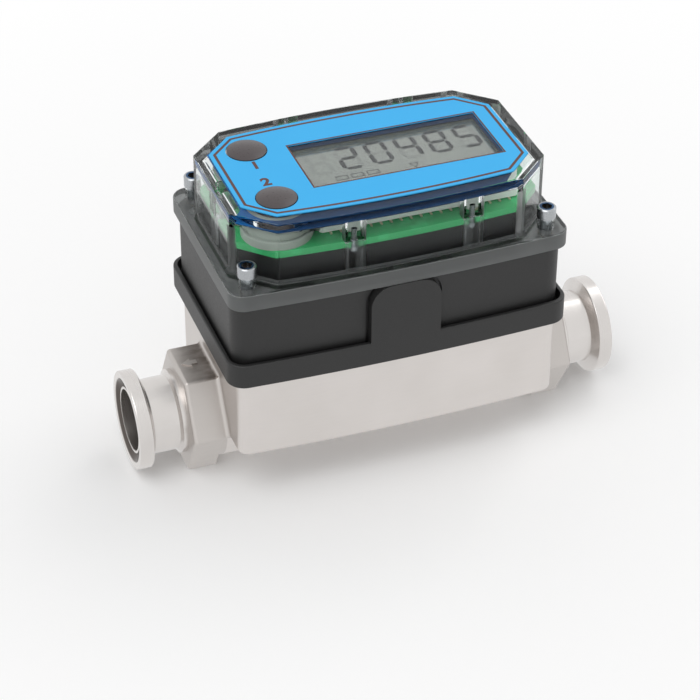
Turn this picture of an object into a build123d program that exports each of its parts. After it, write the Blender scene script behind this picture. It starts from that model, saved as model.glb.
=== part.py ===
from build123d import *
import math
import os

# Turbine flow meter with sanitary clamp ends and a clear-covered flow display.
# Millimetres, +Z up. The origin is on the surface that the meter rests on, under the middle of
# the flow axis, which runs along X. The inlet is at +X and the outlet, where the cast arrow
# points, at -X.

# Clear cover, which sets the plan size of all below it
cover_length = 80.1
cover_width = 45.4
cover_height = 20.25
cover_chamfer_x = 9.1
cover_chamfer_y = 8.6
cover_plate = 3.0
cover_wall = 2.0
cover_top_edge = 0.35
cover_corner_edge = 0.5
cover_inner_fillet = 0.8
cover_foot_fillet = 0.7
flange_end_step = 3.25
flange_side_step = 2.65
cover_flange_corner = 4.0
cover_flange_height = 4.35
cover_flange_edge = 0.5
cover_flange_length = cover_length + 2 * flange_end_step
cover_flange_width = cover_width + 2 * flange_side_step

# Long sides of every moulded and cast outline swell outward by this much
side_bow = 1.35

# Black adapter housing
wall_end_step = 0.9
wall_side_step = 1.65
wall_corner = 4.6
wall_thickness = 2.2
wall_rise = 15.65
wall_length = cover_flange_length - 2 * wall_end_step
wall_width = cover_flange_width - 2 * wall_side_step
rim_end_step = 1.65
rim_side_step = 1.9
rim_corner = 4.6
rim_height = 6.5
rim_lip = 1.0
rim_edge = 0.45
moat_depth = 3.2
rim_length = wall_length + 2 * rim_end_step
rim_width = wall_width + 2 * rim_side_step
deck_thickness = 2.2
floor_thickness = 3.0
floor_opening_radius = 12.0
pad_width = 18.0
pad_corner = 5.5
pad_slot_width = 0.8
pad_slot_depth = 0.8
spigot_wall = 1.6
spigot_board_margin = 0.5

# Cast block under the housing's rim
rim_overhang_end = 2.35
rim_overhang_side = 1.8
block_length = rim_length - 2 * rim_overhang_end
block_width = rim_width - 2 * rim_overhang_side
block_corner = 2.9
block_height = 22.0
block_bottom_edge = 1.1
pocket_length = 56.0
pocket_width = 26.0
pocket_depth = 5.0
pocket_corner = 4.0

# Hexagons and barrel on the flow axis
hex_across_flats = 27.0
hex_length = 7.3
hex_edge_radius = 1.0
neck_length = 1.8
neck_fillet = 1.2
barrel_step = 0.3
hex_span = block_length + 2 * (hex_length + neck_length)
barrel_radius = hex_across_flats / 2 - barrel_step
axis_z = hex_across_flats / 2
block_bottom = axis_z - 0.1
block_top = block_bottom + block_height
arrow_length = 3.8
arrow_head = 2.3
arrow_width = 3.2
arrow_tail_width = 1.5
arrow_height = 0.35

# Bores
bore_radius = 7.875
body_bore_step = 0.2
rotor_bore_step = 0.55
rotor_bore_length = 30.0
body_bore_radius = bore_radius - body_bore_step
rotor_bore_radius = body_bore_radius - rotor_bore_step

# Clamp ferrules
ferrule_length = 13.0
ferrule_flange_radius = 12.6
ferrule_edge = 3.5
ferrule_edge_radius = 0.4
ferrule_bevel = 1.2
ferrule_tube_wall = 1.65
ferrule_spigot = 4.0
ferrule_shoulder_step = 1.175
ferrule_shoulder = 1.3
ferrule_shoulder_bevel = 0.6
gasket_groove_rim = 1.7
gasket_groove_depth = 1.5
gasket_lip_width = 0.65
gasket_lip_recess = 0.7
ferrule_tube_radius = bore_radius + ferrule_tube_wall
ferrule_shoulder_radius = ferrule_tube_radius + ferrule_shoulder_step
face_to_face = hex_span + 2 * ferrule_length

# Rotor set
hub_radius = 3.0
hub_length = 11.4
blade_count = 6
blade_length = 9.6
blade_thickness = 0.8
blade_twist = 38.0
blade_tip_gap = 0.45
bushing_radius = 1.6
bushing_length = 2.6
bushing_running_gap = 0.03
shaft_radius = 0.8
support_length = 11.0
support_ring_wall = 0.8
support_ring_length = 7.0
support_fit = 0.05
support_vanes = 4
support_vane_thickness = 0.9
support_nose_radius = 2.2
thrust_gap = 0.3
shaft_seat = 5.0
ring_groove_depth = 0.8
ring_width = 1.0
ring_wall = 1.7
ring_gap = 4.0
ring_groove_radius = body_bore_radius + ring_groove_depth

# Seals
seal_width = 2.0
seal_depth = 1.3
seal_proud = 0.05
body_seal_inset = 3.6
cover_seal_width = 1.6
cover_seal_end_inset = 1.85
cover_seal_side_inset = 1.2

# Corner screws, their clear seats and brass inserts
screw_end_inset = 5.1
screw_side_inset = 4.15
screw_x = cover_flange_length / 2 - screw_end_inset
screw_y = cover_flange_width / 2 - screw_side_inset
screw_head_radius = 2.33
screw_head_height = 2.85
screw_radius = 1.42
screw_socket_across = 2.4
screw_socket_depth = 1.4
screw_clearance = 0.18
screw_past_insert = 0.2
seat_height = 2.9
seat_radius = 2.15
insert_radius = 2.1
insert_length = 6.0
insert_boss_radius = 3.3
insert_boss_floor = 2.0
insert_boss_length = insert_length + insert_boss_floor
screw_length = seat_height + cover_flange_height + seal_proud + insert_length + screw_past_insert

# Screws that hold the housing down on the block
base_screw_end_inset = 8.7
base_screw_side_inset = 7.3
base_screw_x = block_length / 2 - base_screw_end_inset
base_screw_y = block_width / 2 - base_screw_side_inset
base_screw_radius = 1.5
base_screw_head_radius = 2.8
base_screw_head_height = 2.0
base_screw_grip = 7.0
base_screw_length = floor_thickness + base_screw_grip

# Circuit board and its screws
board_end_gap = 0.65
board_side_gap = 0.9
board_length = cover_length - 2 * (cover_wall + board_end_gap)
board_width = cover_width - 2 * (cover_wall + board_side_gap)
board_cut_step_x = 1.9
board_cut_step_y = 1.4
board_chamfer_x = cover_chamfer_x - board_cut_step_x
board_chamfer_y = cover_chamfer_y - board_cut_step_y
board_thickness = 1.8
board_under_plate = 5.65
board_screw_left = -11.6
board_screw_right = 18.4
board_screw_side_inset = 2.0
board_screw_radius = 0.75
board_screw_head_radius = 1.15
board_screw_head_height = 1.6
board_screw_head_edge = 0.5
board_slot_clearance = 0.15
board_screw_bite = 3.2
board_boss_radius = 2.6
board_boss_wall_overlap = 0.6
rib_width = 3.6
rib_depth = 0.6
notch_clearance = 0.3
notch_reach = 4.0

# Faceplate
plate_end_inset = 3.45
plate_side_inset = 3.65
plate_length = cover_length - 2 * plate_end_inset
plate_width = cover_width - 2 * plate_side_inset
plate_cut_step_x = 2.4
plate_cut_step_y = 2.0
plate_chamfer_x = cover_chamfer_x - plate_cut_step_x
plate_chamfer_y = cover_chamfer_y - plate_cut_step_y
plate_thickness = 0.25
plate_button_clearance = 0.2

# Push buttons
button_end_inset = 9.25
button_side_inset = 7.65
button_x = button_end_inset - plate_length / 2
button_y = plate_width / 2 - button_side_inset
button_radius = 4.9
button_dome = 0.75
button_rim = 0.15
button_slide_gap = 0.15
button_collar_step = 0.9
button_collar_height = 1.1
button_collar_gap = 0.1
button_stem_radius = 2.4
button_travel = 0.8
button_collar_radius = button_radius + button_collar_step
pill_thickness = 0.8
pill_gap = 0.15
keypad_bore_gap = 0.4
keypad_wall = 2.2
keypad_step_inset = 0.9
keypad_step = 2.2
keypad_top_gap = 0.1
keypad_bore_radius = button_collar_radius + keypad_bore_gap
keypad_radius = keypad_bore_radius + keypad_wall
keypad_step_radius = keypad_radius - keypad_step_inset
contact_radius = 2.2
contact_thickness = 0.15

# Display
window_keypad_gap = 1.65
window_end_inset = 5.3
window_side_inset = 9.1
window_y = 0.1
window_low_x = button_x + keypad_radius + window_keypad_gap
window_high_x = plate_length / 2 - window_end_inset
window_x = (window_low_x + window_high_x) / 2
window_length = window_high_x - window_low_x
window_width = plate_width - 2 * window_side_inset
display_top_gap = 0.1
display_glass_end_lap = 0.4
display_glass_side_lap = 1.75
display_glass_thickness = 1.6
bezel_thickness = 0.25
bezel_inset = 0.3
carrier_end_lap = 1.1
carrier_side_inset = 3.8
carrier_corner = 0.6
carrier_foot_gap = 0.3
display_glass_length = window_length + 2 * display_glass_end_lap
display_glass_width = window_width + 2 * display_glass_side_lap
carrier_length = window_length + 2 * carrier_end_lap
carrier_width = board_width - 2 * carrier_side_inset
pin_pitch = 2.54
pin_size = 0.5
pin_reach = 0.9
pin_end_inset = 2.0
pin_count = int((carrier_length - 2 * pin_end_inset) / pin_pitch) + 1

# Pickup coil, cells and chip
coil_well_radius = 7.0
coil_well_web = 1.8
coil_gap = 0.6
coil_height = 9.0
coil_wire_inset = 0.5
bobbin_flange = 1.0
bobbin_core_radius = 3.0
magnet_radius = 1.6
lead_radius = 0.5
lead_gap = 0.1
lead_spread = magnet_radius + lead_radius + lead_gap
coil_radius = coil_well_radius - coil_gap
cell_radius = 12.25
cell_height = 5.0
cell_edge = 0.5
holder_wall = 1.4
holder_gap = 0.15
holder_spread = 2.35
cell_spacing = 2 * (cell_radius + holder_wall + holder_spread)
chip_size = 4.4
chip_height = 1.2
chip_lead_gap = 4.1
chip_y = lead_spread + lead_radius + chip_lead_gap + chip_size / 2

# Levels that follow
rim_top = block_top + rim_height
deck_z = rim_top + wall_rise
cover_base = deck_z + seal_proud
cover_flange_top = cover_base + cover_flange_height
cover_top = cover_base + cover_height
plate_underside = cover_top - cover_plate
board_top = plate_underside - board_under_plate
board_bottom = board_top - board_thickness
seat_top = cover_flange_top + seat_height
glass_top = plate_underside - display_top_gap - bezel_thickness


def bowed_rectangle(length, width, bow, corner):
    """Plan outline with straight ends and gently swollen long sides."""
    x, y = length / 2, width / 2
    edges = [
        ThreePointArc((-x, -y), (0, -y - bow), (x, -y)),
        Line((x, -y), (x, y)),
        ThreePointArc((x, y), (0, y + bow), (-x, y)),
        Line((-x, y), (-x, -y)),
    ]
    face = make_face(Curve() + edges)
    return fillet(face.vertices(), corner)


def bowed_octagon(length, width, chamfer_x, chamfer_y, bow):
    """Plan outline with cut corners and gently swollen long sides."""
    x, y = length / 2, width / 2
    ax, ay = x - chamfer_x, y - chamfer_y
    edges = [
        ThreePointArc((-ax, -y), (0, -y - bow), (ax, -y)),
        Line((ax, -y), (x, -ay)),
        Line((x, -ay), (x, ay)),
        Line((x, ay), (ax, y)),
        ThreePointArc((ax, y), (0, y + bow), (-ax, y)),
        Line((-ax, y), (-x, ay)),
        Line((-x, ay), (-x, -ay)),
        Line((-x, -ay), (-ax, -y)),
    ]
    return make_face(Curve() + edges)


def prism(face, z_low, z_high):
    """Plan outline raised between two levels."""
    return extrude(Pos(0, 0, z_low) * face, z_high - z_low)


def rod(radius, z_low, z_high, x=0.0, y=0.0):
    """Upright cylinder between two levels."""
    return Pos(x, y, (z_low + z_high) / 2) * Cylinder(radius, z_high - z_low)


def axle(radius, x_low, x_high):
    """Cylinder on the flow axis between two stations."""
    return Pos((x_low + x_high) / 2, 0, axis_z) * Rot(0, 90, 0) * Cylinder(radius, x_high - x_low)


def turned(points):
    """Solid of revolution about the flow axis from (station, radius) points."""
    outline = make_face(Polyline([(s, 0, r) for s, r in points], close=True))
    return Pos(0, 0, axis_z) * revolve(outline, Axis.X, 360)


def corners(x, y):
    """The four plan points that mirror each other about both axes."""
    return [(sx * x, sy * y) for sx in (-1, 1) for sy in (-1, 1)]


def bow_at(x, half_length):
    """How far a swollen side stands out at a station along it."""
    radius = (half_length ** 2 + side_bow ** 2) / (2 * side_bow)
    return side_bow - radius + math.sqrt(radius ** 2 - x ** 2)


def save(name, shape):
    """Write one sub-part, named after its node."""
    export_step(shape, os.path.join("parts", name + ".step"))


def flow_arrow():
    """Cast arrow on the top flat of the outlet hexagon."""
    tip = -(hex_span - hex_length) / 2 - arrow_length / 2
    neck, tail = tip + arrow_head, tip + arrow_length
    half, thin = arrow_width / 2, arrow_tail_width / 2
    outline = make_face(Polyline([
        (tip, 0), (neck, -half), (neck, -thin), (tail, -thin), (tail, thin), (neck, thin),
        (neck, half)], close=True))
    return prism(outline, hex_across_flats - arrow_height, hex_across_flats + arrow_height)


def hexagon_end():
    """One hexagon, flats up and down, whose upper half runs on into the block's end."""
    outline = RegularPolygon(hex_across_flats / 2, 6, major_radius=False, rotation=0)
    reach = hex_length + neck_length + block_corner
    solid = extrude(Plane.YZ.offset(-hex_span / 2) * outline, reach)
    inner_face = solid.faces().sort_by(Axis.X)[-1]
    kept = [e for e in solid.edges() if e.center().X < inner_face.center().X - 0.01]
    solid = fillet(kept, hex_edge_radius)
    relief = Pos(-hex_span / 2 + hex_length, 0, 0) * Box(
        reach, 2 * hex_across_flats, hex_across_flats, align=(Align.MIN, Align.CENTER, Align.MAX))
    return Pos(0, 0, axis_z) * (solid - relief)


def meter_body():
    """Cast block, barrel and hexagons in one piece, then machined."""
    inner = hex_span / 2 - hex_length
    block = prism(bowed_rectangle(block_length, block_width, side_bow, block_corner),
                  block_bottom, block_top)
    block = fillet(block.faces().sort_by(Axis.Z)[0].edges(), block_bottom_edge)
    outlet = hexagon_end()
    body = block + outlet + mirror(outlet, Plane.YZ)
    roots = [e for e in body.edges() if abs(abs(e.center().X) - block_length / 2) < 0.01
             and e.center().Z > block_bottom + hex_edge_radius
             and e.center().Z < hex_across_flats + 0.01]
    body = fillet(roots, neck_fillet)
    body += axle(barrel_radius, -inner - hex_edge_radius, inner + hex_edge_radius)
    return machined(body + flow_arrow())


def machined(body):
    """Bores, grooves, coil well, pocket and tapped holes in the casting."""
    end = hex_span / 2
    body -= axle(rotor_bore_radius, -end, end)
    for side in (-1, 1):
        low, high = sorted((side * rotor_bore_length / 2, side * (end + 1)))
        body -= axle(body_bore_radius, low, high)
        low, high = sorted((side * (end - ferrule_spigot), side * (end + 1)))
        body -= axle(ferrule_tube_radius, low, high)
        low, high = sorted((side * ring_station(), side * (ring_station() + ring_width)))
        body -= axle(ring_groove_radius, low, high)
    pocket = RectangleRounded(pocket_length, pocket_width, pocket_corner)
    body -= prism(pocket, block_top - pocket_depth, block_top + 1)
    body -= rod(coil_well_radius, coil_well_floor(), block_top)
    for x, y in corners(base_screw_x, base_screw_y):
        depth = base_screw_length - floor_thickness
        body -= rod(base_screw_radius, block_top - depth, block_top + 1, x, y)
    return body - body_gasket()


def ring_station():
    """Where each retaining ring starts, behind its rotor support."""
    return rotor_bore_length / 2 + support_ring_length


def coil_well_floor():
    """Bottom of the blind well that brings the coil close to the rotor."""
    return axis_z + rotor_bore_radius + coil_well_web


def ferrule(side):
    """Turned clamp ferrule welded into one hexagon."""
    end = face_to_face / 2
    root = hex_span / 2
    neck = end - ferrule_edge - ferrule_bevel
    profile = [
        (end, bore_radius), (end, ferrule_flange_radius), (end - ferrule_edge, ferrule_flange_radius),
        (neck, ferrule_tube_radius),
        (root + ferrule_shoulder + ferrule_shoulder_bevel, ferrule_tube_radius),
        (root + ferrule_shoulder, ferrule_shoulder_radius), (root, ferrule_shoulder_radius),
        (root, ferrule_tube_radius), (root - ferrule_spigot, ferrule_tube_radius),
        (root - ferrule_spigot, bore_radius)]
    solid = turned(profile)
    rims = [e for e in solid.edges().filter_by(GeomType.CIRCLE)
            if abs(e.radius - ferrule_flange_radius) < 0.01]
    solid = fillet(rims, ferrule_edge_radius)
    outer = ferrule_flange_radius - gasket_groove_rim
    lip = bore_radius + gasket_lip_width
    solid -= turned([
        (end + 1, 0), (end + 1, outer), (end, outer), (end - gasket_groove_depth, lip + 1),
        (end - gasket_groove_depth, lip), (end - gasket_lip_recess, lip),
        (end - gasket_lip_recess, 0)])
    return solid if side > 0 else mirror(solid, Plane.YZ)


def rotor():
    """Helical-bladed rotor with a bored hub."""
    tip = rotor_bore_radius - blade_tip_gap
    root = hub_radius * 0.8
    blade_face = Rectangle(blade_thickness, tip - root + 1)
    stations = [-blade_length / 2, 0, blade_length / 2]
    sections = [Plane.YZ.offset(s) * Rot(0, 0, blade_twist * s / blade_length)
                * Pos(0, (tip + root + 1) / 2) * blade_face for s in stations]
    blade = loft(sections)
    solid = Pos(0, 0, -axis_z) * axle(hub_radius, -hub_length / 2, hub_length / 2)
    solid = chamfer(solid.edges().filter_by(GeomType.CIRCLE), 0.4)
    for index in range(blade_count):
        solid += Rot(360 * index / blade_count, 0, 0) * blade
    solid &= Rot(0, 90, 0) * Cylinder(tip, hub_length)
    solid -= Rot(0, 90, 0) * Cylinder(bushing_radius, hub_length + 1)
    return Pos(0, 0, axis_z) * solid


def rotor_bushings():
    """Bearing bush pressed into each end of the rotor's hub."""
    bushes = []
    for side in (-1, 1):
        low, high = sorted((side * hub_length / 2, side * (hub_length / 2 - bushing_length)))
        bush = axle(bushing_radius, low, high)
        bushes.append(bush - axle(shaft_radius + bushing_running_gap, low - 1, high + 1))
    return Compound(children=bushes)


def shaft_half_length():
    """The shaft ends inside the hubs of both supports."""
    return hub_length / 2 + thrust_gap + shaft_seat


def rotor_shaft():
    """Hard shaft that stands still in the supports."""
    shaft = axle(shaft_radius, -shaft_half_length(), shaft_half_length())
    return chamfer(shaft.edges().filter_by(GeomType.CIRCLE), 0.2)


def rotor_support(side):
    """Vaned support that centres the shaft and straightens the flow."""
    seat = rotor_bore_length / 2
    ring_end = seat + support_ring_length
    ring_radius = body_bore_radius - support_fit
    nose = hub_length / 2 + thrust_gap
    hub_end = seat + support_length
    solid = axle(ring_radius, seat, ring_end)
    solid -= axle(ring_radius - support_ring_wall, seat - 1, ring_end + 1)
    hub = turned([(nose, 0), (nose, support_nose_radius), (seat, hub_radius),
                  (ring_end, hub_radius), (hub_end, 0.6), (hub_end, 0)])
    for index in range(support_vanes):
        vane = Pos((seat + ring_end) / 2, 0, ring_radius / 2) * Box(
            support_ring_length, support_vane_thickness, ring_radius - support_ring_wall / 2)
        hub += Pos(0, 0, axis_z) * Rot(360 * (index + 0.5) / support_vanes, 0, 0) * vane
    solid = (solid + hub) & axle(ring_radius, nose, hub_end)
    solid -= axle(shaft_radius, nose - 1, shaft_half_length())
    return solid if side > 0 else mirror(solid, Plane.YZ)


def retaining_ring(side):
    """Split ring that keeps one support against its shoulder."""
    low = ring_station()
    ring = axle(ring_groove_radius, low, low + ring_width)
    ring -= axle(ring_groove_radius - ring_wall, low - 1, low + ring_width + 1)
    ring -= Pos(low, 0, axis_z - ring_groove_radius) * Box(4 * ring_width, ring_gap, 2 * ring_wall + 1)
    return ring if side > 0 else mirror(ring, Plane.YZ)


def body_gasket():
    """Seal in the groove on top of the casting."""
    length = block_length - 2 * body_seal_inset
    width = block_width - 2 * body_seal_inset
    outer = bowed_rectangle(length, width, side_bow, block_corner)
    inner = bowed_rectangle(length - 2 * seal_width, width - 2 * seal_width, side_bow, 1.0)
    return prism(outer - inner, block_top - seal_depth, block_top)


def cover_gasket():
    """Seal in the groove on the housing's deck, inside the corner screws."""
    outer = bowed_octagon(wall_length - 2 * cover_seal_end_inset, wall_width - 2 * cover_seal_side_inset,
                          cover_chamfer_x, cover_chamfer_y, side_bow)
    inner = offset(outer, -cover_seal_width, kind=Kind.INTERSECTION)
    return prism(outer - inner, deck_z - seal_depth, cover_base)


def spigot_outline(shrink):
    """Plan of the upstand that carries the circuit board, less a margin."""
    margin = 2 * (spigot_board_margin + shrink)
    return bowed_octagon(board_length - margin, board_width - margin, board_chamfer_x, board_chamfer_y,
                         side_bow)


def adapter_housing():
    """Black moulding between the steel block and the clear cover."""
    rim = bowed_rectangle(rim_length, rim_width, side_bow, rim_corner)
    wall = bowed_rectangle(wall_length, wall_width, side_bow, wall_corner)
    shell = prism(rim, block_top, rim_top)
    shell = fillet(shell.edges().filter_by(lambda e: abs(e.bounding_box().size.Z) < 0.01), rim_edge)
    lip = bowed_rectangle(rim_length - 2 * rim_lip, rim_width - 2 * rim_lip, side_bow,
                          rim_corner - rim_lip)
    shell -= prism(lip, rim_top - moat_depth, rim_top + 1)
    shell += prism(wall, block_top, deck_z)
    shell -= pad_slot()
    shell += arch_pad() + prism(spigot_outline(0), deck_z, board_bottom)
    inside = bowed_rectangle(wall_length - 2 * wall_thickness, wall_width - 2 * wall_thickness,
                             side_bow, wall_corner - wall_thickness)
    shell -= prism(inside, block_top + floor_thickness, deck_z - deck_thickness)
    shell -= prism(spigot_outline(spigot_wall), block_top + floor_thickness, board_bottom + 1)
    shell -= rod(floor_opening_radius, block_top - 1, block_top + floor_thickness + 1)
    for x, y in corners(screw_x, screw_y):
        shell += rod(insert_boss_radius, deck_z - insert_boss_length, deck_z, x, y) & \
            prism(wall, block_top, deck_z)
        shell -= rod(screw_radius + screw_clearance, deck_z - insert_boss_length + 1, deck_z + 1, x, y)
        shell -= rod(insert_radius, deck_z - insert_length, deck_z + 1, x, y)
    for x, y in corners(base_screw_x, base_screw_y):
        shell -= rod(base_screw_radius + screw_clearance, block_top - 1,
                     block_top + floor_thickness + 1, x, y)
    for x, y, _ in board_screws_at():
        shell -= rod(board_screw_head_radius + notch_clearance, deck_z, board_bottom + 1, x, y)
    return shell - cover_gasket()


def arch_column(grow):
    """Column through the front wall with rounded shoulders, wider all round by grow."""
    outline = Rectangle(pad_width + 2 * grow, deck_z - block_top + grow)
    tops = outline.vertices().group_by(Axis.Y)[-1]
    outline = fillet(tops, pad_corner + grow)
    front = Plane(origin=(0, 0, (deck_z + block_top + grow) / 2), x_dir=(1, 0, 0), z_dir=(0, -1, 0))
    return extrude(front * outline, rim_width)


def arch_pad():
    """Raised pad with rounded shoulders in the middle of the front wall, behind a narrow slot."""
    skin = prism(bowed_rectangle(rim_length, rim_width, side_bow, rim_corner), block_top + rim_edge,
                 deck_z)
    back = prism(bowed_rectangle(wall_length - 2 * pad_slot_depth, wall_width - 2 * pad_slot_depth,
                                 side_bow, wall_corner - pad_slot_depth), block_top, deck_z)
    return (arch_column(0) & skin) - back


def pad_slot():
    """Narrow slot round the pad, from the rim's lip into the wall."""
    room = prism(bowed_rectangle(rim_length - 2 * rim_lip, rim_width - 2 * rim_lip, side_bow,
                                 rim_corner - rim_lip), rim_top - moat_depth, deck_z)
    back = prism(bowed_rectangle(wall_length - 2 * pad_slot_depth, wall_width - 2 * pad_slot_depth,
                                 side_bow, wall_corner - pad_slot_depth), block_top, deck_z)
    return (arch_column(pad_slot_width) & room) - back


def thread_inserts():
    """Brass inserts moulded into the housing's corner bosses."""
    inserts = []
    for x, y in corners(screw_x, screw_y):
        insert = rod(insert_radius, deck_z - insert_length, deck_z, x, y)
        inserts.append(insert - rod(screw_radius, deck_z - insert_length - 1, deck_z + 1, x, y))
    return Compound(children=inserts)


def cap_screw(x, y):
    """Socket-head screw standing on its clear seat."""
    screw = rod(screw_head_radius, seat_top, seat_top + screw_head_height, x, y)
    screw = chamfer(screw.faces().sort_by(Axis.Z)[-1].edges(), 0.25)
    socket = RegularPolygon(screw_socket_across / 2, 6, major_radius=False)
    screw -= Pos(x, y, 0) * prism(socket, seat_top + screw_head_height - screw_socket_depth,
                                  seat_top + screw_head_height + 1)
    return screw + rod(screw_radius, seat_top - screw_length, seat_top, x, y)


def cover_screws():
    """Four corner screws."""
    return Compound(children=[cap_screw(x, y) for x, y in corners(screw_x, screw_y)])


def base_screws():
    """Four screws inside the housing, into the casting."""
    top = block_top + floor_thickness
    screws = []
    for x, y in corners(base_screw_x, base_screw_y):
        head = rod(base_screw_head_radius, top, top + base_screw_head_height, x, y)
        head = fillet(head.faces().sort_by(Axis.Z)[-1].edges(), 0.6)
        screws.append(head + rod(base_screw_radius, top - base_screw_length, top, x, y))
    return Compound(children=screws)


def board_screws_at():
    """Plan points of the board's screws, with the side wall that each stands beside."""
    spots = []
    half = cover_length / 2 - cover_chamfer_x
    for x in (board_screw_left, board_screw_right):
        wall = cover_width / 2 - cover_wall + bow_at(x, half)
        spots += [(x, side * (wall - board_screw_side_inset), (0, side)) for side in (-1, 1)]
    end = cover_length / 2 - cover_wall - board_screw_side_inset
    spots += [(-end, 0.0, (-1, 0)), (end, 0.0, (1, 0))]
    return spots


def clear_cover():
    """Moulded clear cover: flange, cut-cornered walls, thick top and inner bosses."""
    flange = prism(bowed_rectangle(cover_flange_length, cover_flange_width, side_bow,
                                   cover_flange_corner), cover_base, cover_flange_top)
    flange = fillet(flange.faces().sort_by(Axis.Z)[-1].edges(), cover_flange_edge)
    outline = bowed_octagon(cover_length, cover_width, cover_chamfer_x, cover_chamfer_y, side_bow)
    hollow = offset(outline, -cover_wall, kind=Kind.INTERSECTION)
    tower = prism(outline, cover_base, cover_top)
    tower = fillet(tower.edges().filter_by(Axis.Z), cover_corner_edge)
    tower = fillet(tower.faces().sort_by(Axis.Z)[-1].edges(), cover_top_edge)
    cavity = prism(hollow, cover_base - 1, plate_underside)
    cavity = fillet(cavity.faces().sort_by(Axis.Z)[-1].edges(), cover_inner_fillet)
    cover = flange + tower
    foot = [e for e in cover.edges() if abs(e.center().Z - cover_flange_top) < 0.01
            and abs(e.center().Y) < cover_width / 2 + side_bow + 0.01
            and abs(e.center().X) < cover_length / 2 + 0.01]
    cover = fillet(foot, cover_foot_fillet) - cavity
    cover += cover_bosses(prism(hollow, cover_base, plate_underside))
    for x, y in corners(screw_x, screw_y):
        cover += rod(seat_radius, cover_flange_top - 1, seat_top, x, y)
        cover -= rod(screw_radius + screw_clearance, cover_base - 1, seat_top + 1, x, y)
    for side in (-1, 1):
        cover -= rod(button_radius + button_slide_gap, plate_underside - 1, cover_top + 1,
                     button_x, side * button_y)
    return cover


def cover_bosses(room):
    """Screw bosses under the top and the ribs that run down the walls from them."""
    bosses = None
    for x, y, (wx, wy) in board_screws_at():
        reach = board_screw_side_inset + board_boss_wall_overlap
        boss = rod(board_boss_radius, board_top, plate_underside, x, y)
        boss += Pos(x + wx * reach / 2, y + wy * reach / 2, (board_top + plate_underside) / 2) * Box(
            2 * board_boss_radius if wy else reach, 2 * board_boss_radius if wx else reach,
            plate_underside - board_top)
        rib_x = x + wx * (board_screw_side_inset - rib_depth / 2)
        rib_y = y + wy * (board_screw_side_inset - rib_depth / 2)
        rib = Pos(rib_x, rib_y, (cover_base + plate_underside) / 2) * Box(
            rib_width if wy else rib_depth, rib_width if wx else rib_depth,
            plate_underside - cover_base)
        boss = (boss & room) + rib
        boss -= rod(board_screw_radius, board_top - 1, board_top + board_screw_bite, x, y)
        bosses = boss if bosses is None else bosses + boss
    return bosses


def circuit_board():
    """Board with cut corners, open notches for its screws and the cover's ribs."""
    outline = bowed_octagon(board_length, board_width, board_chamfer_x, board_chamfer_y, side_bow)
    board = prism(outline, board_bottom, board_top)
    for x, y, (wx, wy) in board_screws_at():
        slot = 2 * (board_screw_radius + board_slot_clearance)
        board -= rod(slot / 2, board_bottom - 1, board_top + 1, x, y)
        board -= Pos(x + wx * notch_reach / 2, y + wy * notch_reach / 2, board_top) * Box(
            slot if wy else notch_reach, slot if wx else notch_reach, 4 * board_thickness)
        wide = rib_width + 2 * notch_clearance
        inward = board_screw_side_inset - rib_depth - notch_clearance + notch_reach / 2
        board -= Pos(x + wx * inward, y + wy * inward, board_top) * Box(
            wide if wy else notch_reach, wide if wx else notch_reach, 4 * board_thickness)
    return board


def board_screws():
    """Small screws that draw the board up against the cover's bosses."""
    screws = []
    for x, y, _ in board_screws_at():
        head = rod(board_screw_head_radius, board_bottom - board_screw_head_height, board_bottom, x, y)
        head = fillet(head.faces().sort_by(Axis.Z)[0].edges(), board_screw_head_edge)
        shank = rod(board_screw_radius, board_bottom, board_top + board_screw_bite, x, y)
        screws.append(head + shank)
    return Compound(children=screws)


def faceplate():
    """Thin printed plate on top of the cover, cut out for window and buttons."""
    outline = bowed_octagon(plate_length, plate_width, plate_chamfer_x, plate_chamfer_y, side_bow)
    plate = prism(outline, cover_top, cover_top + plate_thickness)
    plate -= Pos(window_x, window_y, cover_top) * Box(window_length, window_width, 4 * plate_thickness)
    for side in (-1, 1):
        plate -= rod(button_radius + plate_button_clearance, cover_top - 1, cover_top + 1,
                     button_x, side * button_y)
    return plate


def push_button(side):
    """Domed button cap with its collar and stem."""
    x, y = button_x, side * button_y
    top = cover_top + plate_thickness
    collar_top = plate_underside - button_collar_gap
    crown = (button_radius ** 2 + button_dome ** 2) / (2 * button_dome)
    cap = rod(button_radius, collar_top - 0.5, top + button_rim + button_dome, x, y)
    cap &= Pos(x, y, top + button_rim + button_dome - crown) * Sphere(crown) + \
        rod(button_radius, collar_top - 1, top, x, y)
    cap += rod(button_collar_radius, collar_top - button_collar_height, collar_top, x, y)
    return cap + rod(button_stem_radius, pill_bottom() + pill_thickness, collar_top, x, y)


def pill_bottom():
    """The contact pill rests a travel and a small gap above the board's contact."""
    return board_top + contact_thickness + button_travel + pill_gap


def contact_pill(side):
    """Carbon contact pill under the button's stem."""
    return rod(button_stem_radius, pill_bottom(), pill_bottom() + pill_thickness,
               button_x, side * button_y)


def keypad(side):
    """Grey silicone collar round one button, on the board and under the cover."""
    x, y = button_x, side * button_y
    base = rod(keypad_radius, board_top, board_top + keypad_step, x, y)
    base = fillet(base.faces().sort_by(Axis.Z)[-1].edges(), 0.4)
    upper = rod(keypad_step_radius, board_top, plate_underside - keypad_top_gap, x, y)
    return base + upper - rod(keypad_bore_radius, board_top - 1, plate_underside + 1, x, y)


def contacts():
    """Gold contacts on the board under both pills."""
    return Compound(children=[rod(contact_radius, board_top, board_top + contact_thickness,
                                  button_x, side * button_y) for side in (-1, 1)])


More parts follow.
